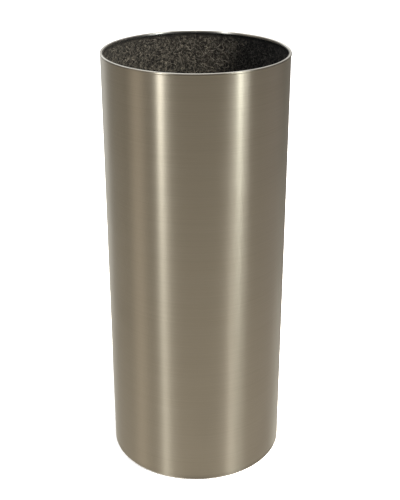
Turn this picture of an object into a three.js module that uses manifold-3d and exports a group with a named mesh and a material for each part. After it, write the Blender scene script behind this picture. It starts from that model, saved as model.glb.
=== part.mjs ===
// A round umbrella stand: a tall brushed-steel tube with a bright edge bead, a felt lining,
// a weighted base on four screwed rubber feet, and a drip tray that lifts out.
// Millimetres, +Z up. The origin is the centre of the base, on the floor.
import * as THREE from "three";
import { mergeVertices } from "three/addons/utils/BufferGeometryUtils.js";
import Module from "manifold-3d";

const wasm = await Module();
wasm.setup();

// Driving dimensions.
const STAND_HEIGHT = 500; // floor to the top of the edge bead
const SHELL_RADIUS = 105; // outside of the brushed tube
const SHELL_WALL = 0.8;
const GAP = 0.2; // left between pieces that are pressed or glued together
const FOOT_LIFT = 1; // how far the shell's lower edge clears the floor

// Edge bead: a hooked section, round on top, that caps the shell and the lining.
const BEAD_WALL = 0.3;
const BEAD_OUTER_LEG = 0.8; // straight length of the leg outside the shell
const BEAD_INNER_LEG = 1.2; // straight length of the leg inside the lining

// Felt lining.
const LINING_WALL = 1.2;

// Shell's turned-in lower edge, which carries the base pan.
const HEM_WIDTH = 7;
const HEM_BEND = 1.6; // outside radius of the bend

// Base pan, pressed from sheet: an upturned rim, a seat that rests on the hem, a raised middle.
const PAN_WALL = 1;
const PAN_RIM = 16; // height of its upturned rim
const PAN_BEND = 2.5; // outside radius of the bend under the rim
const PAN_STEP = 6; // how far the middle stands above the seat
const PAN_MIDDLE_RADIUS = 92;
const PAN_SLOPE = 3; // width of the slope between middle and seat

// Ballast plate.
const PLATE_RADIUS = 90;
const PLATE_THICKNESS = 6;
const PLATE_CHAMFER = 1;

// Feet and their fasteners, four sets on one circle.
const FOOT_COUNT = 4;
const FOOT_CIRCLE = 74; // radius of the circle that the feet stand on
const FOOT_RADIUS = 11;
const FOOT_TAPER = 1.5; // how much smaller the foot is where it meets the floor
const FOOT_ROUND = 0.8;
const SCREW_RADIUS = 2;
const SCREW_HOLE = 2.3;
const SCREW_HEAD_RADIUS = 3.8;
const SCREW_HEAD_HEIGHT = 1.6;
const SCREW_POINT = 0.4; // chamfer at the end of the thread
const SCREW_PROUD = 1.2; // thread that shows above the nut
const SCREW_SOCKET_RADIUS = 1.1; // drive socket in the screw's head
const SCREW_SOCKET_DEPTH = 0.8;
const HEAD_SEAT = 4.6; // radius of the counterbore in the foot
const HEAD_DEPTH = 2; // how far the head stays up inside the foot
const WASHER_RADIUS = 5;
const WASHER_THICKNESS = 0.8;
const NUT_ACROSS_FLATS = 7;
const NUT_HEIGHT = 3.2;

// Drip tray.
const TRAY_CLEARANCE = 2.4; // between the tray's lip and the lining
const TRAY_HEIGHT = 26;
const TRAY_WALL = 1.6;
const TRAY_FOOT_HEIGHT = 7; // ring under the floor that clears the nuts
const TRAY_FOOT_RADIUS = 84;
const TRAY_FOOT_WIDTH = 2.4;
const TRAY_TAPER = 3; // how much narrower the tray is at its floor
const TRAY_CORNER = 6; // outside radius between floor and wall
const TRAY_LIP = 1.2; // how far the lip stands out from the wall

// Mesh steps.
const ROUND_STEPS = 48; // around the tube
const SMALL_STEPS = 16; // around a foot or a fastener
const ARC_STEPS = 2; // half the steps along an arc of a profile

// Heights worked out from the above.
const hemTop = FOOT_LIFT + SHELL_WALL;
const panBottom = hemTop + GAP;
const panTop = panBottom + PAN_RIM;
const middleBottom = panBottom + PAN_STEP;
const middleTop = middleBottom + PAN_WALL;
const plateBottom = middleTop + GAP;
const plateTop = plateBottom + PLATE_THICKNESS;
const washerBottom = plateTop + GAP;
const washerTop = washerBottom + WASHER_THICKNESS;
const nutBottom = washerTop + GAP;
const nutTop = nutBottom + NUT_HEIGHT;
const footTop = middleBottom - GAP;
const trayBottom = plateTop + GAP;
const trayFloorBottom = trayBottom + TRAY_FOOT_HEIGHT;
const trayTop = trayBottom + TRAY_HEIGHT;

// Radii worked out from the above.
const shellInner = SHELL_RADIUS - SHELL_WALL;
const liningOuter = shellInner - GAP;
const liningInner = liningOuter - LINING_WALL;
const beadOuter = SHELL_RADIUS + GAP + BEAD_WALL;
const beadInner = liningInner - GAP - BEAD_WALL;
const beadRound = (beadOuter - beadInner) / 2;
const beadMiddle = (beadOuter + beadInner) / 2;
const beadRoundBottom = STAND_HEIGHT - beadRound;
const trayRadius = liningInner - TRAY_CLEARANCE;

const brushedSteel = new THREE.MeshStandardMaterial({ color: 0xa49a86, roughness: 0.34, metalness: 1 });
const brightSteel = new THREE.MeshStandardMaterial({ color: 0xc9c5ba, roughness: 0.2, metalness: 1 });
const darkFelt = new THREE.MeshStandardMaterial({ color: 0x332f29, roughness: 0.95, metalness: 0 });
const zincSheet = new THREE.MeshStandardMaterial({ color: 0x9a9a96, roughness: 0.45, metalness: 1 });
const blackIron = new THREE.MeshStandardMaterial({ color: 0x26272a, roughness: 0.6, metalness: 0.3 });
const blackRubber = new THREE.MeshStandardMaterial({ color: 0x1b1b1c, roughness: 0.85, metalness: 0 });
const zincFastener = new THREE.MeshStandardMaterial({ color: 0xb9bab6, roughness: 0.3, metalness: 1 });
const trayPlastic = new THREE.MeshStandardMaterial({ color: 0x222326, roughness: 0.5, metalness: 0 });

const stand = new THREE.Group();

function addPiece(name, geometry, material, group = stand) {
  const mesh = new THREE.Mesh(geometry, material);
  mesh.name = name;
  group.add(mesh);
  return mesh;
}

// Turns a profile, drawn as radius across and height up, round the Z axis.
// The profile runs so that the material is on its left.
function turned(profile, steps = ROUND_STEPS) {
  const geometry = new THREE.LatheGeometry(profile.getPoints(ARC_STEPS), steps);
  geometry.rotateX(Math.PI / 2);
  return geometry;
}

// The profile of a plain ring.
function ringProfile(inner, outer, bottom, top) {
  return new THREE.Path()
    .moveTo(inner, bottom)
    .lineTo(outer, bottom)
    .lineTo(outer, top)
    .lineTo(inner, top)
    .closePath();
}

function solidOf(geometry) {
  const bare = geometry.clone();
  bare.deleteAttribute("normal");
  bare.deleteAttribute("uv");
  const merged = mergeVertices(bare, 1e-3);
  return new wasm.Manifold(
    new wasm.Mesh({
      numProp: 3,
      vertProperties: merged.attributes.position.array,
      triVerts: new Uint32Array(merged.index.array),
    }),
  );
}

function geometryOf(solid) {
  const mesh = solid.getMesh();
  const geometry = new THREE.BufferGeometry();
  geometry.setAttribute("position", new THREE.BufferAttribute(mesh.vertProperties, mesh.numProp));
  geometry.setIndex(new THREE.BufferAttribute(mesh.triVerts, 1));
  geometry.computeVertexNormals();
  return geometry;
}

// The centres of the feet, on the diagonals.
const footPlaces = Array.from({ length: FOOT_COUNT }, (_, i) => {
  const angle = ((i + 0.5) * 2 * Math.PI) / FOOT_COUNT;
  return [FOOT_CIRCLE * Math.cos(angle), FOOT_CIRCLE * Math.sin(angle)];
});

// Cuts the four screw holes through a turned piece.
function withScrewHoles(geometry, bottom, top) {
  let solid = solidOf(geometry);
  for (const [x, y] of footPlaces) {
    const drill = new THREE.CylinderGeometry(SCREW_HOLE, SCREW_HOLE, top - bottom + 2, SMALL_STEPS);
    drill.rotateX(Math.PI / 2);
    drill.translate(x, y, (bottom + top) / 2);
    solid = solid.subtract(solidOf(drill));
  }
  return geometryOf(solid);
}

// The brushed tube, with its lower edge turned in to a narrow hem.
function shellGeometry() {
  const hemInner = shellInner - HEM_WIDTH;
  const innerBend = HEM_BEND - SHELL_WALL;
  return turned(
    new THREE.Path()
      .moveTo(hemInner, FOOT_LIFT)
      .lineTo(SHELL_RADIUS - HEM_BEND, FOOT_LIFT)
      .absarc(SHELL_RADIUS - HEM_BEND, FOOT_LIFT + HEM_BEND, HEM_BEND, -Math.PI / 2, 0)
      .lineTo(SHELL_RADIUS, beadRoundBottom)
      .lineTo(shellInner, beadRoundBottom)
      .lineTo(shellInner, FOOT_LIFT + HEM_BEND)
      .absarc(SHELL_RADIUS - HEM_BEND, FOOT_LIFT + HEM_BEND, innerBend, 0, -Math.PI / 2, true)
      .lineTo(hemInner, hemTop)
      .closePath(),
  );
}

// The bright bead: an upside-down hook over the top edges of the shell and the lining.
function beadGeometry() {
  const outerBottom = beadRoundBottom - BEAD_OUTER_LEG;
  const innerBottom = beadRoundBottom - BEAD_INNER_LEG;
  return turned(
    new THREE.Path()
      .moveTo(beadOuter - BEAD_WALL, outerBottom)
      .lineTo(beadOuter, outerBottom)
      .lineTo(beadOuter, beadRoundBottom)
      .absarc(beadMiddle, beadRoundBottom, beadRound, 0, Math.PI)
      .lineTo(beadInner, innerBottom)
      .lineTo(beadInner + BEAD_WALL, innerBottom)
      .lineTo(beadInner + BEAD_WALL, beadRoundBottom)
      .absarc(beadMiddle, beadRoundBottom, beadRound - BEAD_WALL, Math.PI, 0, true)
      .closePath(),
  );
}

// The felt lining, from the pan's rim up into the bead.
function liningGeometry() {
  return turned(ringProfile(liningInner, liningOuter, panTop + GAP, beadRoundBottom - GAP));
}

// The pressed pan that closes the base and rests on the shell's hem.
function panGeometry() {
  const outer = liningOuter;
  const bend = outer - PAN_BEND;
  const seatInner = PAN_MIDDLE_RADIUS + PAN_SLOPE;
  const seatTop = panBottom + PAN_WALL;
  const pan = turned(
    new THREE.Path()
      .moveTo(0, middleBottom)
      .lineTo(PAN_MIDDLE_RADIUS, middleBottom)
      .lineTo(seatInner, panBottom)
      .lineTo(bend, panBottom)
      .absarc(bend, panBottom + PAN_BEND, PAN_BEND, -Math.PI / 2, 0)
      .lineTo(outer, panTop)
      .lineTo(outer - PAN_WALL, panTop)
      .lineTo(outer - PAN_WALL, panBottom + PAN_BEND)
      .absarc(bend, panBottom + PAN_BEND, PAN_BEND - PAN_WALL, 0, -Math.PI / 2, true)
      .lineTo(seatInner + PAN_WALL, seatTop)
      .lineTo(PAN_MIDDLE_RADIUS + PAN_WALL, middleTop)
      .lineTo(0, middleTop),
  );
  return withScrewHoles(pan, middleBottom, middleTop);
}

// The iron disc that keeps the stand upright.
function plateGeometry() {
  const plate = turned(
    new THREE.Path()
      .moveTo(0, plateBottom)
      .lineTo(PLATE_RADIUS - PLATE_CHAMFER, plateBottom)
      .lineTo(PLATE_RADIUS, plateBottom + PLATE_CHAMFER)
      .lineTo(PLATE_RADIUS, plateTop - PLATE_CHAMFER)
      .lineTo(PLATE_RADIUS - PLATE_CHAMFER, plateTop)
      .lineTo(0, plateTop),
  );
  return withScrewHoles(plate, plateBottom, plateTop);
}

// The drip tray: a dish on a foot ring, with a lip around its edge.
function trayGeometry() {
  const wallTop = trayRadius - TRAY_LIP;
  const floorOuter = wallTop - TRAY_TAPER;
  const innerCorner = TRAY_CORNER - TRAY_WALL;
  const cornerCentre = floorOuter - TRAY_CORNER;
  const cornerHeight = trayFloorBottom + TRAY_CORNER;
  const footInner = TRAY_FOOT_RADIUS - TRAY_FOOT_WIDTH;
  return turned(
    new THREE.Path()
      .moveTo(0, trayFloorBottom)
      .lineTo(footInner, trayFloorBottom)
      .lineTo(footInner, trayBottom)
      .lineTo(TRAY_FOOT_RADIUS, trayBottom)
      .lineTo(TRAY_FOOT_RADIUS, trayFloorBottom)
      .lineTo(cornerCentre, trayFloorBottom)
      .absarc(cornerCentre, cornerHeight, TRAY_CORNER, -Math.PI / 2, 0)
      .lineTo(wallTop, trayTop - TRAY_WALL)
      .lineTo(trayRadius, trayTop - TRAY_WALL)
      .lineTo(trayRadius, trayTop)
      .lineTo(wallTop - TRAY_WALL, trayTop)
      .lineTo(floorOuter - TRAY_WALL, cornerHeight)
      .absarc(cornerCentre, cornerHeight, innerCorner, 0, -Math.PI / 2, true)
      .lineTo(0, trayFloorBottom + TRAY_WALL),
  );
}

// A rubber foot, narrower at the floor, counterbored for the screw's head.
function footGeometry() {
  const floorRadius = FOOT_RADIUS - FOOT_TAPER;
  const seat = HEAD_DEPTH + SCREW_HEAD_HEIGHT + GAP;
  return turned(
    new THREE.Path()
      .moveTo(HEAD_SEAT, 0)
      .lineTo(floorRadius - FOOT_ROUND, 0)
      .absarc(floorRadius - FOOT_ROUND, FOOT_ROUND, FOOT_ROUND, -Math.PI / 2, 0)
      .lineTo(FOOT_RADIUS, footTop)
      .lineTo(SCREW_HOLE, footTop)
      .lineTo(SCREW_HOLE, seat)
      .lineTo(HEAD_SEAT, seat)
      .closePath(),
    SMALL_STEPS,
  );
}

// A flat-headed machine screw, head down, with a socket in its head.
function screwGeometry() {
  const headTop = HEAD_DEPTH + SCREW_HEAD_HEIGHT;
  const threadTop = nutTop + SCREW_PROUD;
  return turned(
    new THREE.Path()
      .moveTo(0, HEAD_DEPTH + SCREW_SOCKET_DEPTH)
      .lineTo(SCREW_SOCKET_RADIUS, HEAD_DEPTH + SCREW_SOCKET_DEPTH)
      .lineTo(SCREW_SOCKET_RADIUS, HEAD_DEPTH)
      .lineTo(SCREW_HEAD_RADIUS, HEAD_DEPTH)
      .lineTo(SCREW_HEAD_RADIUS, headTop)
      .lineTo(SCREW_RADIUS, headTop)
      .lineTo(SCREW_RADIUS, threadTop - SCREW_POINT)
      .lineTo(SCREW_RADIUS - SCREW_POINT, threadTop)
      .lineTo(0, threadTop),
    SMALL_STEPS,
  );
}

// A hexagon nut, bored to clear the screw.
function nutGeometry() {
  const corner = NUT_ACROSS_FLATS / Math.sqrt(3);
  const hexagon = new THREE.Shape(
    Array.from({ length: 6 }, (_, i) => {
      const angle = (i * Math.PI) / 3;
      return new THREE.Vector2(corner * Math.cos(angle), corner * Math.sin(angle));
    }),
  );
  hexagon.holes.push(new THREE.Path().absarc(0, 0, SCREW_HOLE, 0, 2 * Math.PI, true));
  const nut = new THREE.ExtrudeGeometry(hexagon, {
    depth: NUT_HEIGHT,
    bevelEnabled: false,
    curveSegments: SMALL_STEPS / 2,
  });
  nut.translate(0, 0, nutBottom);
  return nut;
}

addPiece("outer_shell", shellGeometry(), brushedSteel);
addPiece("rim_bead", beadGeometry(), brightSteel);
addPiece("felt_lining", liningGeometry(), darkFelt);
addPiece("base_pan", panGeometry(), zincSheet);
addPiece("ballast_plate", plateGeometry(), blackIron);
addPiece("drip_tray", trayGeometry(), trayPlastic);

const washerProfile = ringProfile(SCREW_HOLE, WASHER_RADIUS, washerBottom, washerTop);
footPlaces.forEach(([x, y], i) => {
  const fixing = new THREE.Group();
  fixing.position.set(x, y, 0);
  stand.add(fixing);
  addPiece(`foot_${i + 1}`, footGeometry(), blackRubber, fixing);
  addPiece(`foot_screw_${i + 1}`, screwGeometry(), zincFastener, fixing);
  addPiece(`foot_washer_${i + 1}`, turned(washerProfile, SMALL_STEPS), zincFastener, fixing);
  addPiece(`foot_nut_${i + 1}`, nutGeometry(), zincFastener, fixing);
});

export default stand;
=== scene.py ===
"""A round umbrella stand, 500 mm high: brushed tube, bright bead, felt lining, drip tray and weighted base.

Every turned piece is an outline of radius and height, carried round the stand's axis. Lengths are in
millimetres until put_mesh() writes them in metres. The finishes read places in metres, as the lamps and
the camera do, but take the depth of a relief in millimetres.
"""
import math

import bpy
import numpy as np
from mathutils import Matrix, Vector


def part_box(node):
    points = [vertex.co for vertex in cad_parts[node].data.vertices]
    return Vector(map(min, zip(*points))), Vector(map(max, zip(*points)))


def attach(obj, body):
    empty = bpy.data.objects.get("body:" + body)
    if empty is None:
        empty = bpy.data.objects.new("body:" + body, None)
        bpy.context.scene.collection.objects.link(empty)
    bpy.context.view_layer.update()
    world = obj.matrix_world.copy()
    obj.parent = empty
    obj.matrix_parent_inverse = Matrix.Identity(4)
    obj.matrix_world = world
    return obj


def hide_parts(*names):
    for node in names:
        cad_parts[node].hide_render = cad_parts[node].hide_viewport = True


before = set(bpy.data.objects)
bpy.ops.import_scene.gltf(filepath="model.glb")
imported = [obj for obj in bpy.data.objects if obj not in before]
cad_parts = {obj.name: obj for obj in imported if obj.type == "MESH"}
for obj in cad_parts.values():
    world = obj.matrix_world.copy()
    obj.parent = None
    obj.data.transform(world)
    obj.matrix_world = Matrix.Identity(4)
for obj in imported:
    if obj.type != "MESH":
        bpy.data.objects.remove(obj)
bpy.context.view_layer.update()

MM = 0.001
TAU = 2 * math.pi

# --------------------------------------------------------------------------------------------------
# Measures. Places come from the CAD nodes; the sheet thicknesses and roundings are the maker's.
# --------------------------------------------------------------------------------------------------
SHEET = 0.8  # shell
BEAD_WALL = 0.3
BEAD_INNER_LEG = 1.2
FELT = 1.2
HEM_WIDTH = 7
HEM_BEND = 1.6
PAN_SHEET = 1
PAN_MIDDLE = 92  # radius of the pan's raised middle
PAN_SLOPE = 3
PAN_STEP = 6
TRAY_WALL = 1.6
TRAY_LIP = 1.2
TRAY_TAPER = 3
TRAY_CORNER = 6
TRAY_RING = 84  # outside radius of the ring under the tray
TRAY_RING_WIDTH = 2.4
TRAY_RING_HEIGHT = 7
SCREW_HOLE = 2.3
SHANK = 2
PITCH = 0.7
SEAM = TAU / 4  # where the tube, the bead and the felt are joined: at the back


def turned_box(node):
    """A node's radius, lowest and highest height, and the x and y of its axis."""
    low, high = (np.array(corner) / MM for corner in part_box(node))
    return (high[0] - low[0]) / 2, low[2], high[2], (low[:2] + high[:2]) / 2


# --------------------------------------------------------------------------------------------------
# Outlines
# --------------------------------------------------------------------------------------------------
def rounded(corners, steps=6, closed=True, hold=0.08):
    """An outline from its corners, each (radius, height, rounding), with the material on its left.

    A rounding r is the circle that touches both sides of its corner: it starts r / tan(half the corner's
    angle) along each side, and its centre lies r / sin(half the angle) along the line that halves the
    corner. Its points go evenly round that circle. One more point on each side, hold further out, keeps the
    flats flat in the shading.
    """
    corners = np.array(corners, float)
    spots, radii = corners[:, :2], corners[:, 2]
    back = np.roll(spots, 1, axis=0) - spots
    ahead = np.roll(spots, -1, axis=0) - spots
    back /= np.linalg.norm(back, axis=1)[:, None]
    ahead /= np.linalg.norm(ahead, axis=1)[:, None]
    if not closed:
        radii = radii * np.r_[0, np.ones(len(radii) - 2), 0]
    half = np.arccos(np.clip((back * ahead).sum(1), -1, 1)) / 2
    reach = radii / np.tan(half)
    middle = back + ahead
    middle /= np.linalg.norm(middle, axis=1)[:, None]
    centre = spots + middle * (radii / np.sin(half))[:, None]
    start = spots + back * reach[:, None] - centre
    end = spots + ahead * reach[:, None] - centre
    sweep = math.pi - 2 * half
    share = np.linspace(0, 1, steps)[None, :]
    from_start = np.sin((1 - share) * sweep[:, None]) / np.sin(sweep)[:, None]
    from_end = np.sin(share * sweep[:, None]) / np.sin(sweep)[:, None]
    arcs = centre[:, None] + from_start[..., None] * start[:, None] + from_end[..., None] * end[:, None]
    held = hold * (radii > 0)
    before = spots + back * (reach + held)[:, None]
    after = spots + ahead * (reach + held)[:, None]
    points = np.concatenate([before[:, None], arcs, after[:, None]], axis=1).reshape(-1, 2)
    apart = np.linalg.norm(points - np.roll(points, 1, axis=0), axis=1) > 1e-5
    apart[0] = apart[0] or not closed
    return points[apart]


def divided(outline, longest, closed=True):
    """The outline with even extra points on every side that is longer than longest."""
    ends = np.roll(outline, -1, axis=0)
    if not closed:
        ends[-1] = outline[-1]
    counts = np.ceil(np.linalg.norm(ends - outline, axis=1) / longest).astype(int).clip(1)
    side = np.repeat(np.arange(len(outline)), counts)
    step = np.arange(len(side)) - np.repeat(np.cumsum(counts) - counts, counts)
    return outline[side] + (step / counts[side])[:, None] * (ends - outline)[side]


def arc(centre, radius, start, stop, steps):
    """Points evenly round part of a circle, from start to stop, in turns of a right angle."""
    angle = np.linspace(start, stop, steps) * TAU / 4
    return np.stack([centre[0] + radius * np.cos(angle), centre[1] + radius * np.sin(angle)], axis=1)


def round_angles(count, fine_at=None, fine_width=0.03, fine_count=24):
    """Angles evenly round a turn, or closer together across a narrow seam."""
    if fine_at is None:
        return np.linspace(0, TAU, count, endpoint=False)
    narrow = np.linspace(fine_at - fine_width, fine_at + fine_width, fine_count, endpoint=False)
    rest = np.linspace(fine_at + fine_width, fine_at - fine_width + TAU, count, endpoint=False)
    return np.r_[narrow, rest]


# --------------------------------------------------------------------------------------------------
# Meshes
# --------------------------------------------------------------------------------------------------
def put_mesh(name, points, faces, uv=None):
    """A mesh object from points in millimetres, faces as lists of point numbers, and UV for every corner."""
    mesh = bpy.data.meshes.new(name)
    mesh.from_pydata((np.asarray(points) * MM).tolist(), [], faces)
    if uv is not None:
        mesh.uv_layers.new(name="round").data.foreach_set("uv", np.asarray(uv, np.float32).ravel())
    mesh.polygons.foreach_set("use_smooth", np.ones(len(mesh.polygons), bool))
    mesh.update()
    piece = bpy.data.objects.new(name, mesh)
    bpy.context.scene.collection.objects.link(piece)
    return piece


def turned(name, outline, angles, shape=None, centre=(0, 0)):
    """The surface that an outline sweeps round a vertical axis.

    The point at angle a and outline place j is (r cos a, r sin a, h), where r and h are the outline's radius
    and height at j, first altered by shape(a, r, h) if there is one. An outline that starts and ends on the
    axis gives one point at each pole; any other closes on itself. UV runs round the axis and along the
    outline.
    """
    angle, j = np.meshgrid(angles, np.arange(len(outline)), indexing="ij")
    radius, height = outline[j, 0], outline[j, 1]
    on_axis = outline[:, 0] < 1e-9
    if shape is not None:
        radius, height = shape(angle, radius, height)
        radius = np.where(on_axis[None, :], 0, radius)
    x = centre[0] + radius * np.cos(angle)
    y = centre[1] + radius * np.sin(angle)
    points = np.stack([x, y, height], axis=-1)
    turns, places = angle.shape
    number = np.arange(turns * places).reshape(turns, places)
    number[:, on_axis] = number[0, on_axis]
    open_ended = on_axis.any()
    along = np.arange(places - 1 if open_ended else places)
    i, j = (grid.ravel() for grid in np.meshgrid(np.arange(turns), along, indexing="ij"))
    next_i, next_j = (i + 1) % turns, (j + 1) % places
    quads = np.stack([number[i, j], number[next_i, j], number[next_i, next_j], number[i, next_j]], axis=1)
    run = np.r_[0, np.cumsum(np.linalg.norm(np.diff(outline, axis=0, append=outline[:1]), axis=1))]
    around = np.r_[(angles - angles[0]) / TAU, 1]
    u = np.stack([around[i], around[i + 1], around[i + 1], around[i]], axis=1)
    v = np.stack([run[j], run[j], run[j + 1], run[j + 1]], axis=1) / run[-1]
    uv = np.stack([u, v], axis=-1)
    keep = np.ones(quads.shape, bool)
    keep[on_axis[j], 1] = False
    keep[on_axis[next_j], 3] = False
    used, packed = np.unique(quads[keep], return_inverse=True)
    sizes = keep.sum(1)
    faces = [face.tolist() for face in np.split(packed, np.cumsum(sizes)[:-1])]
    return put_mesh(name, points.reshape(-1, 3)[used], faces, uv[keep])


def drilled(piece, places, radius, depth, height):
    """Cuts upright round holes through a piece at the given places."""
    for x, y in places:
        bpy.ops.mesh.primitive_cylinder_add(
            vertices=48, radius=radius * MM, depth=depth * MM, location=(x * MM, y * MM, height * MM)
        )
        drill = bpy.context.object
        cut = piece.modifiers.new("hole", "BOOLEAN")
        cut.operation = "DIFFERENCE"
        cut.solver = "EXACT"
        cut.object = drill
        bpy.context.view_layer.objects.active = piece
        bpy.ops.object.modifier_apply(modifier=cut.name)
        bpy.data.objects.remove(drill)
    return piece


def hexagon(angle, across_flats):
    """The radius of a hexagon at each angle: half its width over the cosine of the angle off the flat."""
    from_flat = (angle + TAU / 12) % (TAU / 6) - TAU / 12
    return across_flats / 2 / np.cos(from_flat)


def helix(angle, height):
    """A thread, from 0 at its root to 1 at its crest: a triangle wave that climbs one pitch a turn."""
    return 1 - np.abs(2 * ((height / PITCH - angle / TAU) % 1) - 1)


# --------------------------------------------------------------------------------------------------
# Finishes
# --------------------------------------------------------------------------------------------------
class Nodes:
    """A node tree, with short calls for the nodes that the finishes and the studio's air share."""

    def __init__(self, tree):
        self.tree = tree

    def add(self, kind, **settings):
        node = self.tree.nodes.new(kind)
        for key, value in settings.items():
            setattr(node, key, value)
        return node

    def feed(self, socket, value):
        """Joins an output to a socket, or sets a plain value there."""
        if isinstance(value, bpy.types.NodeSocket):
            self.tree.links.new(value, socket)
        else:
            socket.default_value = value

    def math(self, operation, first, second=0.0, third=0.0):
        node = self.add("ShaderNodeMath", operation=operation)
        for socket, value in zip(node.inputs, (first, second, third)):
            self.feed(socket, value)
        return node.outputs[0]

    def spread(self, value, low, high, to_low=0.0, to_high=1.0):
        """Value, taken from low..high to to_low..to_high, smoothly and held at both ends."""
        node = self.add("ShaderNodeMapRange", interpolation_type="SMOOTHSTEP")
        for socket, number in zip(node.inputs, (value, low, high, to_low, to_high)):
            self.feed(socket, number)
        return node.outputs[0]


class Finish(Nodes):
    """A material, with short calls for the patterns, blends and reliefs that it is made of."""

    def __init__(self, name, **sockets):
        self.material = bpy.data.materials.new(name)
        self.material.use_nodes = True
        super().__init__(self.material.node_tree)
        self.shader = self.tree.nodes["Principled BSDF"]
        for socket, value in sockets.items():
            self.shader.inputs[socket.replace("_", " ")].default_value = value
        self.place = self.add("ShaderNodeTexCoord").outputs["Object"]

    def scaled(self, x, y, z):
        """The place, stretched by a number of pattern steps per metre along each axis."""
        mapping = self.add("ShaderNodeMapping")
        self.feed(mapping.inputs["Vector"], self.place)
        mapping.inputs["Scale"].default_value = (x, y, z)
        return mapping.outputs["Vector"]

    def directions(self):
        """The place's distances across, back and up, as three outputs."""
        split = self.add("ShaderNodeSeparateXYZ")
        self.feed(split.inputs[0], self.place)
        return split.outputs["X"], split.outputs["Y"], split.outputs["Z"]

    def noise(self, place, scale=1.0, detail=3.0, roughness=0.55, distortion=0.0):
        node = self.add("ShaderNodeTexNoise")
        self.feed(node.inputs["Vector"], place)
        node.inputs["Scale"].default_value = scale
        node.inputs["Detail"].default_value = detail
        node.inputs["Roughness"].default_value = roughness
        node.inputs["Distortion"].default_value = distortion
        return node.outputs["Fac"]

    def blend(self, share, first, second):
        """A colour between two, by share."""
        node = self.add("ShaderNodeMix", data_type="RGBA")
        self.feed(node.inputs["Factor"], share)
        self.feed(node.inputs["A"], first if isinstance(first, bpy.types.NodeSocket) else (*first, 1))
        self.feed(node.inputs["B"], second if isinstance(second, bpy.types.NodeSocket) else (*second, 1))
        return node.outputs["Result"]

    def relief(self, height, depth, strength=1.0, under=None):
        """A bump of that depth in millimetres, over another one if given."""
        node = self.add("ShaderNodeBump")
        node.inputs["Strength"].default_value = strength
        node.inputs["Distance"].default_value = depth * MM
        self.feed(node.inputs["Height"], height)
        if under is not None:
            self.feed(node.inputs["Normal"], under)
        return node.outputs["Normal"]

    def finish(self, colour=None, roughness=None, normal=None):
        for socket, value in (("Base Color", colour), ("Roughness", roughness), ("Normal", normal)):
            if value is not None:
                self.feed(self.shader.inputs[socket], value)
        return self.material


def steel_with_lines(name):
    """Steel whose sheen spreads across its lines, which run round the piece."""
    steel = Finish(name, Metallic=1.0, Anisotropic=0.95, Anisotropic_Rotation=0.25)
    tangent = steel.add("ShaderNodeTangent", direction_type="UV_MAP", uv_map="round")
    steel.feed(steel.shader.inputs["Tangent"], tangent.outputs["Tangent"])
    return steel


def brushed_steel():
    """Stainless sheet, brushed round the tube: fine level lines, a satin sheen that spreads upright, a weld
    at the back, and darker, rougher blotches along the lower edge."""
    steel = steel_with_lines("brushed_steel")
    hair = steel.noise(steel.scaled(10, 10, 3600), detail=2)
    lines = steel.noise(steel.scaled(4, 4, 1300), detail=3)
    broad = steel.noise(steel.scaled(2.5, 2.5, 60), detail=2)
    blotchy = steel.noise(steel.place, scale=9, detail=4, distortion=0.6)
    grain = steel.math("ADD", steel.math("MULTIPLY", hair, 0.6), steel.math("MULTIPLY", lines, 0.4))
    across, behind, up = steel.directions()
    near_seam = steel.spread(steel.math("ABSOLUTE", across), 0.0004, 0.0022, 1.0, 0.0)
    weld = steel.math("MULTIPLY", near_seam, steel.math("GREATER_THAN", behind, 0.0))
    # the bottom 1 to 9 mm goes darker and rougher in blotches
    low_edge = steel.spread(up, 0.001, 0.009, 1.0, 0.0)
    dark_low_blotches = steel.math("MULTIPLY", low_edge, steel.spread(blotchy, 0.42, 0.62))
    colour = steel.blend(steel.spread(grain, 0.3, 0.7), (0.470, 0.415, 0.325), (0.540, 0.478, 0.380))
    colour = steel.blend(steel.spread(broad, 0.3, 0.7, 0.0, 0.12), colour, (0.56, 0.51, 0.43))
    colour = steel.blend(steel.math("MULTIPLY", weld, 0.45), colour, (0.34, 0.29, 0.24))
    # darker blotches along the lower edge
    colour = steel.blend(steel.math("MULTIPLY", dark_low_blotches, 0.35), colour, (0.25, 0.23, 0.2))
    roughness = steel.spread(grain, 0.3, 0.7, 0.30, 0.36)
    roughness = steel.math("ADD", roughness, steel.spread(blotchy, 0.45, 0.75, 0.0, 0.03))
    roughness = steel.math("ADD", roughness, steel.math("MULTIPLY", steel.math("ADD", weld, dark_low_blotches), 0.08))
    return steel.finish(colour, roughness, steel.relief(grain, 0.02, strength=0.25))


def bright_steel():
    """Finely polished stainless: faint lines from the buffing wheel, and a few fine scratches. The bead's
    outer flank is left as satin and as warm as the tube, and a little darker than it as painted shade."""
    steel = steel_with_lines("bright_steel")
    steel.shader.inputs["Anisotropic"].default_value = 0.8
    buffed = steel.noise(steel.scaled(30, 30, 2600), detail=2)
    scratched = steel.noise(steel.scaled(900, 120, 400), detail=2, distortion=0.8)
    haze = steel.noise(steel.place, scale=40, detail=3)
    scratch = steel.spread(scratched, 0.68, 0.78)
    across, behind, up = steel.directions()
    square = steel.math("ADD", steel.math("MULTIPLY", across, across), steel.math("MULTIPLY", behind, behind))
    radius, _, top, _ = turned_box("rim_bead")
    outside = steel.spread(steel.math("SQRT", square), (radius - 1.3) * MM, (radius - 0.7) * MM)
    below_crown = steel.spread(up, (top - 0.8) * MM, (top - 0.3) * MM, 1.0, 0.0)
    satin = steel.math("MULTIPLY", outside, below_crown)
    colour = steel.blend(steel.spread(haze, 0.35, 0.7), (0.80, 0.765, 0.70), (0.72, 0.685, 0.62))
    # the outer flank: satin like the tube, and made a little darker than the tube as painted shade
    colour = steel.blend(satin, colour, (0.43, 0.38, 0.3))
    roughness = steel.spread(buffed, 0.3, 0.7, 0.28, 0.34)
    roughness = steel.math("ADD", roughness, steel.math("MULTIPLY", scratch, 0.12))
    normal = steel.relief(buffed, 0.01, strength=0.12)
    return steel.finish(colour, roughness, steel.relief(scratch, 0.01, strength=0.15, under=normal))


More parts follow.
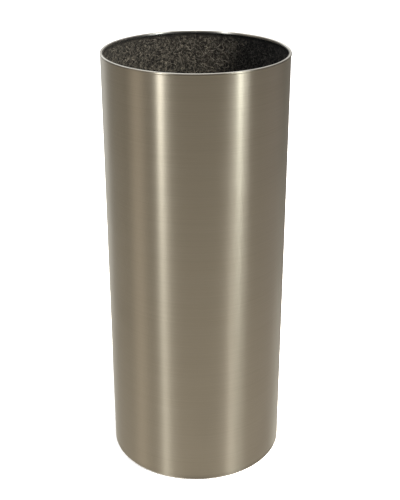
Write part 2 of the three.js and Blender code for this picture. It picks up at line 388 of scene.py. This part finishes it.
def dark_felt():
    """Charcoal needle felt: matted curly fibres, some of them pale, over soft hollows with painted shade in
    them, and a band of painted shadow just below its top, under the bead.
    """
    felt = Finish("dark_felt", Sheen_Weight=0.02, Sheen_Roughness=0.6, Roughness=0.95)
    felt.shader.inputs["Specular IOR Level"].default_value = 0.1
    matted = felt.noise(felt.place, scale=330, detail=6, roughness=0.75)
    clumps = felt.noise(felt.place, scale=70, detail=4, roughness=0.6, distortion=0.5)
    curls = felt.noise(felt.place, scale=170, detail=2, roughness=0.5, distortion=2.4)
    wisps = felt.noise(felt.place, scale=300, detail=1, roughness=0.5, distortion=1.8)
    strand = felt.spread(felt.math("ABSOLUTE", felt.math("SUBTRACT", curls, 0.5)), 0.012, 0.045, 1.0, 0.0)
    thread = felt.spread(felt.math("ABSOLUTE", felt.math("SUBTRACT", wisps, 0.52)), 0.01, 0.045, 1.0, 0.0)
    fibres = felt.math("MAXIMUM", strand, felt.math("MULTIPLY", thread, 0.8))
    shown = felt.math("MULTIPLY", fibres, felt.spread(matted, 0.42, 0.6, 0.0, 1.0))
    # painted shade: where matted is low, which are the hollows of the relief below, the ground goes nearly
    # black
    ground = felt.blend(felt.spread(matted, 0.42, 0.66), (0.0008, 0.0008, 0.0008), (0.0095, 0.0088, 0.0078))
    ground = felt.blend(felt.spread(clumps, 0.4, 0.62, 0.0, 0.55), ground, (0.0025, 0.0025, 0.0022))
    colour = felt.blend(felt.math("MULTIPLY", shown, 0.85), ground, (0.056, 0.0525, 0.045))
    top = turned_box("felt_lining")[2]
    # painted shadow: the felt goes nearly black 2.7 to 5.7 mm below its top, where the bead shades it
    shadow_under_bead = felt.spread(felt.directions()[2], (top - 5.7) * MM, (top - 2.7) * MM)
    colour = felt.blend(felt.math("MULTIPLY", shadow_under_bead, 0.9), colour, (0.0008, 0.0008, 0.0008))
    height = felt.math("ADD", felt.math("MULTIPLY", matted, 0.7), felt.math("MULTIPLY", fibres, 0.5))
    return felt.finish(colour, None, felt.relief(height, 0.8, strength=0.9))


def pale_fibre():
    """The loose curly fibres on the felt's face, some paler than others."""
    fibre = Finish("pale_fibre", Roughness=0.7)
    shade = fibre.noise(fibre.place, scale=180, detail=1)
    colour = fibre.blend(fibre.spread(shade, 0.35, 0.65), (0.015, 0.014, 0.012), (0.125, 0.115, 0.099))
    return fibre.finish(colour)


def zinc_sheet():
    """Zinc-plated pressed sheet: soft spangle, dull, with rolling lines and faint white bloom."""
    zinc = Finish("zinc_sheet", Metallic=1.0)
    spangle = zinc.add("ShaderNodeTexVoronoi", feature="F1")
    zinc.feed(spangle.inputs["Vector"], zinc.scaled(110, 150, 110))
    flake = zinc.add("ShaderNodeSeparateColor")
    zinc.feed(flake.inputs[0], spangle.outputs["Color"])
    rolled = zinc.noise(zinc.scaled(12, 900, 200), detail=2)
    bloom = zinc.noise(zinc.place, scale=24, detail=5, distortion=0.4)
    colour = zinc.blend(flake.outputs["Red"], (0.44, 0.445, 0.45), (0.56, 0.565, 0.57))
    colour = zinc.blend(zinc.spread(bloom, 0.5, 0.75, 0.0, 0.6), colour, (0.62, 0.62, 0.6))
    roughness = zinc.spread(flake.outputs["Green"], 0.0, 1.0, 0.38, 0.5)
    roughness = zinc.math("ADD", roughness, zinc.spread(bloom, 0.5, 0.8, 0.0, 0.2))
    return zinc.finish(colour, roughness, zinc.relief(rolled, 0.02, strength=0.3))


def black_iron():
    """Cast iron under thin black paint: pebbled skin, with the paint worn through on its high spots."""
    iron = Finish("black_iron", Metallic=0.0)
    pebbles = iron.noise(iron.place, scale=420, detail=4, roughness=0.65)
    waves = iron.noise(iron.place, scale=60, detail=2)
    worn = iron.math("MULTIPLY", iron.spread(pebbles, 0.62, 0.7), iron.spread(waves, 0.5, 0.65))
    colour = iron.blend(worn, (0.018, 0.018, 0.02), (0.11, 0.085, 0.07))
    roughness = iron.spread(pebbles, 0.3, 0.7, 0.42, 0.62)
    return iron.finish(colour, roughness, iron.relief(pebbles, 0.25, strength=0.7))


def tray_plastic():
    """Black moulded plastic with a fine spark-eroded grain, and dried water marks on it."""
    plastic = Finish("tray_plastic", Metallic=0.0)
    grain = plastic.noise(plastic.place, scale=1500, detail=2)
    marks = plastic.noise(plastic.place, scale=34, detail=5, distortion=0.8)
    from_edge = plastic.math("ABSOLUTE", plastic.math("SUBTRACT", marks, 0.55))
    ring = plastic.spread(from_edge, 0.004, 0.03, 1.0, 0.0)
    colour = plastic.blend(plastic.math("MULTIPLY", ring, 0.3), (0.014, 0.014, 0.015), (0.055, 0.055, 0.052))
    roughness = plastic.spread(grain, 0.3, 0.7, 0.42, 0.56)
    roughness = plastic.math("ADD", roughness, plastic.math("MULTIPLY", ring, 0.15))
    return plastic.finish(colour, roughness, plastic.relief(grain, 0.04, strength=0.5))


def foot_rubber():
    """Dull moulded rubber, with a grey bloom and dust where it meets the floor."""
    rubber = Finish("foot_rubber", Metallic=0.0)
    bloom = rubber.noise(rubber.place, scale=260, detail=4)
    dust = rubber.math("MULTIPLY", rubber.spread(rubber.directions()[2], 0.0, 0.0012, 1.0, 0.0), bloom)
    colour = rubber.blend(rubber.spread(bloom, 0.35, 0.7), (0.014, 0.014, 0.015), (0.03, 0.03, 0.03))
    colour = rubber.blend(rubber.math("MULTIPLY", dust, 0.6), colour, (0.12, 0.112, 0.1))
    roughness = rubber.spread(bloom, 0.3, 0.7, 0.72, 0.9)
    return rubber.finish(colour, roughness, rubber.relief(bloom, 0.05, strength=0.4))


def zinc_fastener():
    """Bright zinc plate on small turned steel, with tool marks and a straw tint here and there."""
    zinc = Finish("zinc_fastener", Metallic=1.0)
    tooled = zinc.noise(zinc.scaled(300, 300, 2400), detail=2)
    tint = zinc.noise(zinc.place, scale=260, detail=2)
    colour = zinc.blend(zinc.spread(tint, 0.4, 0.7), (0.62, 0.63, 0.64), (0.6, 0.55, 0.43))
    roughness = zinc.spread(tooled, 0.3, 0.7, 0.22, 0.36)
    return zinc.finish(colour, roughness, zinc.relief(tooled, 0.01, strength=0.3))


def floor_paint():
    """Matt pale floor, very slightly uneven, and lit a little from below, as a studio's table is."""
    paint = Finish("floor_paint", Roughness=0.9, Emission_Strength=0.2)
    paint.shader.inputs["Emission Color"].default_value = (1, 1, 1, 1)
    paint.shader.inputs["Specular IOR Level"].default_value = 0.1
    uneven = paint.noise(paint.place, scale=3, detail=3)
    return paint.finish(paint.blend(uneven, (0.9, 0.9, 0.895), (0.92, 0.92, 0.915)))


# --------------------------------------------------------------------------------------------------
# Pieces
# --------------------------------------------------------------------------------------------------
def make_shell():
    """The tube with its turned-in hem. Its radius strays by a few hundredths of a millimetre, as rolled sheet
    does: three slow waves round and up it. The ground weld stands 0.05 mm proud, as a bell curve about 1.8 mm
    wide."""
    radius, low, high, _ = turned_box("outer_shell")
    inner = radius - SHEET
    hem = inner - HEM_WIDTH
    outline = rounded(
        [
            (hem, low, 0.3),
            (radius, low, HEM_BEND),
            (radius, high, 0.2),
            (inner, high, 0.2),
            (inner, low + SHEET, HEM_BEND - SHEET),
            (hem, low + SHEET, 0.3),
        ]
    )

    def strayed(angle, r, h):
        wave = 0.03 * np.sin(3 * angle + h / 90) + 0.02 * np.sin(5 * angle - h / 60 + 1)
        wave += 0.012 * np.sin(9 * angle + h / 37 + 2)
        off_seam = ((angle - SEAM + math.pi) % TAU - math.pi) * radius
        weld = 0.05 * np.exp(-((off_seam / 0.9) ** 2)) * (r > inner + SHEET / 2)
        return r + wave + weld, h

    return turned("shell_tube", divided(outline, longest=9), round_angles(300, SEAM), strayed)


def make_bead():
    """The hooked bead: two half circles, one in the other, and two legs. Its butt joint is a fine groove."""
    outer, low, high, _ = turned_box("rim_bead")
    lining_inner = turned_box("felt_lining")[0] - FELT
    gap = turned_box("outer_shell")[0] - SHEET - turned_box("felt_lining")[0]
    inner = lining_inner - gap - BEAD_WALL
    half = (outer - inner) / 2
    centre = ((outer + inner) / 2, high - half)
    lip = centre[1] - BEAD_INNER_LEG
    outside = arc(centre, half, 0, 2, 25)
    inside = arc(centre, half - BEAD_WALL, 2, 0, 17)
    inner_foot = arc((inner + BEAD_WALL / 2, lip + BEAD_WALL / 2), BEAD_WALL / 2, 2, 4, 9)
    outer_foot = arc((outer - BEAD_WALL / 2, low + BEAD_WALL / 2), BEAD_WALL / 2, 2, 4, 9)
    outline = np.concatenate([outer_foot, outside, inner_foot, inside])

    def joined(angle, r, h):
        off_seam = ((angle - SEAM + math.pi) % TAU - math.pi) * outer
        groove = 0.12 * np.exp(-((off_seam / 0.16) ** 2))
        out_r, out_h = r - centre[0], h - centre[1]
        away = np.hypot(out_r, np.maximum(out_h, 0))
        pull = groove * (away > half - BEAD_WALL / 2) / np.maximum(away, 1e-6)
        return r - pull * out_r, h - pull * np.maximum(out_h, 0)

    return turned("bright_bead", outline, round_angles(300, SEAM, 0.012, 36), joined)


def felt_swell(angle, height):
    """How far the felt's face stands off its mean: a sum of sine waves round and up it, up to 0.25 mm."""
    swell = 0.09 * np.sin(7 * angle + height / 31) * np.sin(height / 23 - 2 * angle)
    swell += 0.07 * np.sin(17 * angle - height / 13 + 1) + 0.05 * np.sin(29 * angle + height / 9 + 2)
    return swell + 0.035 * np.sin(71 * angle + 3 * np.sin(height / 11)) * np.sin(height / 3.1 + 13 * angle)


def make_lining():
    """The felt strip, bent to a ring, with its two ends butted at the back. Its face swells, less and less
    over the last 6 mm below the top, and draws back 0.5 mm at the butt as a bell curve of the angle."""
    outer, low, high, _ = turned_box("felt_lining")
    inner = outer - FELT
    outline = rounded([(inner, low, 0.5), (outer, low, 0.2), (outer, high, 0.2), (inner, high, 0.5)], steps=4)
    middle = (inner + outer) / 2

    def matted(angle, r, h):
        facing_in = r < middle
        off_seam = ((angle - SEAM + math.pi) % TAU - math.pi) * inner
        butt = 0.5 * np.exp(-((off_seam / 0.8) ** 2))
        inside_edges = np.clip((high - h) / 6, 0, 1)
        return np.where(facing_in, r + felt_swell(angle, h) * inside_edges + butt, r), h

    return turned("felt_sleeve", divided(outline, longest=4.6), round_angles(396, SEAM, 0.03, 24), matted)


def make_fibres(count=3150, joints=11, sides=3):
    """Loose curly fibres on the felt, more of them towards the top. Each starts at a place and heading of
    its own and turns at a steady rate with a slow wave in it; its middle stands off the felt by half a sine.
    A three-sided tube follows each of them, and thins along it."""
    outer, low, high, _ = turned_box("felt_lining")
    face = outer - FELT
    draw = np.random.default_rng(7)
    start_along = draw.uniform(0, TAU * face, count)
    lowest, highest = low + 20, high - 8
    start_up = draw.triangular(lowest, highest, highest, count)
    length = draw.uniform(5.0, 18.0, count)[:, None]
    heading = draw.uniform(0, TAU, count)[:, None]
    curl = draw.normal(0, 2.6, count)[:, None]
    wave = draw.uniform(-0.9, 0.9, count)[:, None]
    share = np.linspace(0, 1, joints)[None, :]
    bearing = heading + curl * share + wave * np.sin(TAU * share)
    step = length / (joints - 1)
    along = start_along[:, None] + np.cumsum(np.cos(bearing) * step, axis=1)
    up = start_up[:, None] + np.cumsum(np.sin(bearing) * step, axis=1)
    up = np.minimum(up, highest + 2)
    angle = along / face
    lift = 0.05 + draw.uniform(0.05, 0.35, count)[:, None] * np.sin(math.pi * share)
    middle = face + felt_swell(angle, up) - lift
    thick = draw.uniform(0.06, 0.16, count)[:, None] * (1 - 0.6 * share**2)
    facing = np.stack([np.cos(angle), np.sin(angle), 0 * angle], axis=-1)
    level = np.stack([-np.sin(angle), np.cos(angle), 0 * angle], axis=-1)
    upright = np.broadcast_to([0.0, 0.0, 1.0], level.shape)
    sideways = np.cos(bearing)[..., None] * upright - np.sin(bearing)[..., None] * level
    spine = facing * middle[..., None] + upright * up[..., None]
    around = np.arange(sides) * TAU / sides
    ring = np.cos(around)[:, None] * sideways[..., None, :] + np.sin(around)[:, None] * facing[..., None, :]
    points = spine[..., None, :] + thick[..., None, None] * ring
    number = np.arange(points[..., 0].size).reshape(points.shape[:-1])
    here, ahead = number[:, :-1], number[:, 1:]
    quads = np.stack([here, np.roll(here, -1, 2), np.roll(ahead, -1, 2), ahead], axis=-1).reshape(-1, 4)
    ends = np.concatenate([number[:, 0, ::-1], number[:, -1]])
    return put_mesh("felt_fibres", points.reshape(-1, 3), quads.tolist() + ends.tolist())


def screw_places():
    """The x and y of each screw."""
    return [turned_box(f"foot_screw_{i}")[3] for i in range(1, 5)]


def make_pan():
    """The pressed pan: rim, seat, slope and raised middle, with a shallow ring pressed down into the middle.
    The ring's depth is a flat-topped bell curve of the radius."""
    outer, low, high, _ = turned_box("base_pan")
    seat = PAN_MIDDLE + PAN_SLOPE
    middle = low + PAN_STEP
    outline = rounded(
        [
            (0, middle, 0),
            (PAN_MIDDLE, middle, 1.5),
            (seat, low, 1.2),
            (outer, low, 2.5),
            (outer, high, 0.3),
            (outer - PAN_SHEET, high, 0.3),
            (outer - PAN_SHEET, low + PAN_SHEET, 1.5),
            (seat + PAN_SHEET, low + PAN_SHEET, 1.2),
            (PAN_MIDDLE + PAN_SHEET, middle + PAN_SHEET, 1.5),
            (0, middle + PAN_SHEET, 0),
        ],
        closed=False,
    )

    ring, ring_width, ring_depth = 40, 6, 1.2

    def pressed(angle, r, h):
        return r, h - ring_depth * np.exp(-(((r - ring) / ring_width) ** 4))

    piece = turned("pressed_pan", divided(outline, longest=1.6, closed=False), round_angles(180), pressed)
    return drilled(piece, screw_places(), SCREW_HOLE, depth=6, height=middle + PAN_SHEET / 2)


def make_plate():
    """The cast disc, with a shallow round recess in its top."""
    radius, low, high, _ = turned_box("ballast_plate")
    recess, recess_flare, recess_depth = 59, 3, 1.5
    outline = rounded(
        [
            (0, low, 0),
            (radius, low, 1),
            (radius, high, 1.2),
            (recess + recess_flare, high, 0.8),
            (recess, high - recess_depth, 0.8),
            (0, high - recess_depth, 0),
        ],
        closed=False,
    )
    piece = turned("cast_plate", divided(outline, longest=4, closed=False), round_angles(180))
    return drilled(piece, screw_places(), SCREW_HOLE, depth=12, height=(low + high) / 2)


def make_tray():
    """The moulded tray: foot ring, floor, round corner, flared wall and lip. Water channels run round in its
    floor, each one a bell curve 0.7 mm deep."""
    radius, low, high, _ = turned_box("drip_tray")
    floor = low + TRAY_RING_HEIGHT
    wall = radius - TRAY_LIP
    foot = wall - TRAY_TAPER
    outline = rounded(
        [
            (0, floor, 0),
            (TRAY_RING - TRAY_RING_WIDTH, floor, 0.5),
            (TRAY_RING - TRAY_RING_WIDTH, low, 0.4),
            (TRAY_RING, low, 0.4),
            (TRAY_RING, floor, 0.5),
            (foot, floor, TRAY_CORNER),
            (wall, high - TRAY_WALL, 0.3),
            (radius, high - TRAY_WALL, 0.5),
            (radius, high, 0.6),
            (wall - TRAY_WALL, high, 0.7),
            (foot - TRAY_WALL, floor + TRAY_WALL, TRAY_CORNER - TRAY_WALL),
            (0, floor + TRAY_WALL, 0),
        ],
        closed=False,
    )
    channels = np.array([22, 38, 54, 70])
    channel_width, channel_depth = 1.3, 0.7

    def channelled(angle, r, h):
        on_floor = np.abs(h - floor - TRAY_WALL) < 0.01
        groove = np.exp(-(((r[..., None] - channels) / channel_width) ** 2)).sum(-1)
        return r, h - channel_depth * groove * on_floor

    return turned("moulded_tray", divided(outline, longest=0.9, closed=False), round_angles(160), channelled)


def make_foot(i):
    """A rubber foot, with a well for the screw's head, a grip groove round its sole and a parting line round
    its side. The groove is a bell curve of the radius, 0.35 mm deep, and the line one of the height, 0.12 mm
    proud."""
    radius, low, high, centre = turned_box(f"foot_{i}")
    sole = radius - 1.5
    well = 4.6
    well_top = turned_box(f"foot_screw_{i}")[1] + 1.8
    groove_radius, line_height = 6.7, high * 0.55
    outline = rounded(
        [
            (well, low, 0.3),
            (sole, low, 0.8),
            (radius, high, 0.5),
            (SCREW_HOLE, high, 0.2),
            (SCREW_HOLE, well_top, 0.1),
            (well, well_top, 0.3),
        ]
    )

    def gripped(angle, r, h):
        groove = 0.35 * np.exp(-(((r - groove_radius) / 0.5) ** 2)) * (h < low + 0.1)
        parting = 0.12 * np.exp(-(((h - line_height) / 0.15) ** 2)) * (r > well + 2)
        return r + parting, h + groove

    return turned(f"rubber_foot_{i}", divided(outline, longest=0.3), round_angles(72), gripped, centre)


def make_screw(i):
    """A socket-headed screw. The socket's radius is a hexagon's, and the shank's follows a helix that climbs
    one pitch a turn, 0.3 mm deep."""
    head, low, high, centre = turned_box(f"foot_screw_{i}")
    head_top = low + 1.6
    socket, socket_top = 1.25, low + 0.8
    thread_depth = 0.3
    outline = rounded(
        [
            (0, socket_top, 0),
            (socket, socket_top, 0.1),
            (socket, low, 0.1),
            (head, low, 0.5),
            (head, head_top, 0.2),
            (SHANK, head_top, 0.1),
            (SHANK, high - 0.4, 0.05),
            (SHANK - 0.4, high, 0.05),
            (0, high, 0),
        ],
        steps=4,
        closed=False,
    )

    def cut(angle, r, h):
        in_socket = (r > 1) & (r < 1.5) & (h < head_top - 0.3)
        r = np.where(in_socket, r * hexagon(angle, 2 * socket) / socket, r)
        threaded = (r > SHANK - 0.05) & (r < SHANK + 0.05) & (h > head_top + 1)
        return np.where(threaded, r - thread_depth * (1 - helix(angle, h)), r), h

    outline = divided(outline, longest=0.14, closed=False)
    return turned(f"socket_screw_{i}", outline, round_angles(48), cut, centre)


def make_washer(i):
    """A stamped washer: one edge rounded by the punch, the other sharp."""
    radius, low, high, centre = turned_box(f"foot_washer_{i}")
    outline = rounded(
        [(SCREW_HOLE, low, 0.05), (radius, low, 0.08), (radius, high, 0.3), (SCREW_HOLE, high, 0.2)], steps=5
    )
    return turned(f"plain_washer_{i}", outline, round_angles(60), None, centre)


def make_nut(i):
    """A hexagon nut. Its side stands at a hexagon's radius, held inside a cone at each end for the chamfer,
    and its bore follows the screw's helix, 0.2 mm deep."""
    _, low, high, centre = turned_box(f"foot_nut_{i}")
    flats = (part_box(f"foot_nut_{i}")[1].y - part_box(f"foot_nut_{i}")[0].y) / MM
    bore = SCREW_HOLE
    corner = flats / math.sqrt(3)
    corners = [(bore, low, 0.25), (corner, low, 0.1), (corner, high, 0.1), (bore, high, 0.25)]
    outline = divided(rounded(corners, steps=4), longest=0.14)
    core = bore + 0.3

    def cut(angle, r, h):
        from_end = np.minimum(h - low, high - h)
        side = np.minimum(hexagon(angle, flats), flats / 2 * 0.97 + 1.7 * from_end)
        r = np.where(r > core, core + (r - core) * (side - core) / (corner - core), r)
        threaded = np.abs(r - bore) < 0.02
        return np.where(threaded, r - 0.2 * helix(angle, h), r), h

    return turned(f"hex_nut_{i}", outline, round_angles(96), cut, centre)


# --------------------------------------------------------------------------------------------------
# Put together
# --------------------------------------------------------------------------------------------------
def fit(piece, node, body, material):
    """Gives a piece its finish, lets it ride on its body, and lets it stand for its CAD node."""
    piece.data.materials.clear()
    piece.data.materials.append(material)
    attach(piece, body)
    if node:
        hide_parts(node)
    return piece


fit(make_shell(), "outer_shell", "stand", brushed_steel())
fit(make_bead(), "rim_bead", "stand", bright_steel())
lining = fit(make_lining(), "felt_lining", "stand", dark_felt())
fibres = fit(make_fibres(), None, "stand", pale_fibre())
fit(make_pan(), "base_pan", "stand", zinc_sheet())
fit(make_plate(), "ballast_plate", "stand", black_iron())
fit(make_tray(), "drip_tray", "tray", tray_plastic())

rubber, plated = foot_rubber(), zinc_fastener()
for i in range(1, 5):
    fit(make_foot(i), f"foot_{i}", "stand", rubber)
    fit(make_screw(i), f"foot_screw_{i}", "stand", plated)
    fit(make_washer(i), f"foot_washer_{i}", "stand", plated)
    fit(make_nut(i), f"foot_nut_{i}", "stand", plated)


# --------------------------------------------------------------------------------------------------
# Floor, light and camera
# --------------------------------------------------------------------------------------------------
def pale_floor(half_width=9.0):
    """A wide level floor under the feet, which shiny surfaces don't see."""
    corners = np.array([(-1, -1, 0), (1, -1, 0), (1, 1, 0), (-1, 1, 0)]) * half_width / MM
    floor = put_mesh("pale_floor", corners, [[0, 1, 2, 3]])
    floor.data.materials.append(floor_paint())
    floor.visible_glossy = False


def studio_air():
    """An even white tent for the eye and for matt surfaces. Shiny ones see a dim studio that grows paler
    downwards, as a room does over a pale floor, with the GLOWS round it, each strongest at its turn and gone
    past its width, a pale ceiling behind and a fainter dome overhead."""
    world = bpy.data.worlds.new("studio_air")
    bpy.context.scene.world = world
    world.use_nodes = True
    air = Nodes(world.node_tree)

    def tinted(strength, colour):
        node = air.add("ShaderNodeVectorMath", operation="SCALE")
        air.feed(node.inputs[0], colour)
        air.feed(node.inputs["Scale"], strength)
        return node.outputs["Vector"]

    def together(first, second):
        node = air.add("ShaderNodeVectorMath", operation="ADD")
        air.feed(node.inputs[0], first)
        air.feed(node.inputs[1], second)
        return node.outputs["Vector"]

    towards = air.add("ShaderNodeSeparateXYZ")
    air.feed(towards.inputs[0], air.add("ShaderNodeTexCoord").outputs["Generated"])
    across, behind, up = towards.outputs
    turn = air.math("ARCTAN2", across, air.math("MULTIPLY", behind, -1.0))
    low = air.spread(up, *LOW_EDGE)
    pale = air.math("MAXIMUM", air.math("SUBTRACT", PALE_BELOW, up), 0.0)
    room = tinted(air.math("POWER", pale, PALE_GROWTH), PALE)
    for glow_turn, width, strength_low, strength_high, colour in GLOWS:
        apart = air.math("WRAP", air.math("SUBTRACT", turn, math.radians(glow_turn)), math.pi, -math.pi)
        lobe = air.spread(air.math("ABSOLUTE", apart), math.radians(width), 0.0)
        strength = air.math("MULTIPLY_ADD", low, strength_low - strength_high, strength_high)
        room = together(room, tinted(air.math("MULTIPLY", lobe, strength), colour))
    from_front = air.spread(air.math("ABSOLUTE", turn), *BEHIND)
    ceiling = air.math("MULTIPLY", from_front, air.spread(up, *CEILING_EDGE))
    room = together(room, tinted(ceiling, CEILING))
    room = together(room, tinted(air.spread(up, *DOME_EDGE), DOME))
    choice = air.add("ShaderNodeMix", data_type="VECTOR")
    air.feed(choice.inputs["Factor"], air.add("ShaderNodeLightPath").outputs["Is Glossy Ray"])
    air.feed(choice.inputs["A"], (TENT, TENT, TENT))
    air.feed(choice.inputs["B"], room)
    air.feed(air.tree.nodes["Background"].inputs["Color"], choice.outputs["Result"])


def softbox(name, turn, distance, height, width, tall, power, colour, aim=0.3):
    """A rectangular lamp, aimed at a height on the stand's axis. Its turn is its angle round the stand from
    the front, in degrees, to the right if positive."""
    lamp = bpy.data.lights.new(name, "AREA")
    lamp.shape = "RECTANGLE"
    lamp.size, lamp.size_y = width, tall
    lamp.energy = power
    lamp.color = colour
    box = bpy.data.objects.new(name, lamp)
    angle = math.radians(turn)
    spot = Vector((distance * math.sin(angle), -distance * math.cos(angle), height))
    box.location = spot
    box.rotation_euler = (Vector((0, 0, aim)) - spot).to_track_quat("-Z", "Y").to_euler()
    box.visible_camera = False
    bpy.context.scene.collection.objects.link(box)
    return box


# Heights in the studio are the upward part of a direction: -1 straight down, 1 straight up. An edge is the
# pair of heights, or of turns, between which something comes in.
TENT = 1.6  # how bright the even white tent is
PALE = (1.025, 0.965, 0.855)
PALE_BELOW = 0.1  # the height under which the studio grows paler
PALE_GROWTH = 1.5  # the power of the distance under that height
LOW_EDGE = (-0.34, -0.7)  # where each glow goes over to its strength low down
BEHIND = (math.radians(130), math.radians(165))
CEILING_EDGE = (0.0, 0.22)
CEILING = (0.7, 0.7, 0.68)
DOME_EDGE = (0.35, 0.75)
DOME = (0.4, 0.4, 0.39)
GLOWS = (
    # turn and width in degrees, strength low down, strength higher up, colour
    (-150, 25, 0.0, 0.48, (0.95, 1.0, 1.03)),
    (-140, 40, 0.0, 0.17, (0.95, 1.0, 1.03)),
    (-105, 30, 0.0, 0.1, (1.05, 1.0, 0.9)),
    (-75, 18, 0.0, 0.33, (1.1, 1.0, 0.88)),
    (-43, 6, 1.9, 0.0, (0.95, 1.0, 1.0)),
    (50, 5, 2.7, 0.0, (1.0, 1.0, 1.0)),
    (92, 32, 0.06, 0.06, (1.06, 1.0, 1.06)),
    (115, 30, 0.0, 0.08, (1.06, 1.0, 1.1)),
    (150, 25, 1.5, 0.07, (0.97, 1.0, 0.97)),
)

STRIP = {"distance": 1.25, "height": 0.9, "tall": 1.2}
WELL_LAMP = {"turn": 58, "distance": 1.2, "height": 1.5, "width": 0.25, "tall": 0.25, "aim": 0.42}

pale_floor()
studio_air()
strips = [
    softbox("left_strip", turn=-40.5, width=0.12, power=4.75, colour=(0.93, 0.97, 0.98), **STRIP),
    softbox("right_strip", turn=51.5, width=0.11, power=4.5, colour=(0.90, 0.98, 0.99), **STRIP),
    softbox("right_halo", turn=58, width=0.2, power=1.9, colour=(0.93, 0.98, 1.0), **STRIP),
]
for strip in strips:
    strip.visible_diffuse = False
well_lamp = softbox("well_lamp", power=165, colour=(1.0, 0.93, 0.80), **WELL_LAMP)
well_lamp.visible_glossy = False

LENS = 70.54  # millimetres
EYE = Vector((0.00468, -1.07139, 0.74457))
DOWNWARD = 24.394  # degrees below level

camera_data = bpy.data.cameras.new("eye")
camera_data.lens = LENS
camera_data.sensor_width = 36
camera = bpy.data.objects.new("eye", camera_data)
camera.location = EYE
camera.rotation_euler = (math.radians(90 - DOWNWARD), 0, 0)
bpy.context.scene.collection.objects.link(camera)
bpy.context.scene.camera = camera
bpy.context.scene.view_settings.view_transform = "Standard"
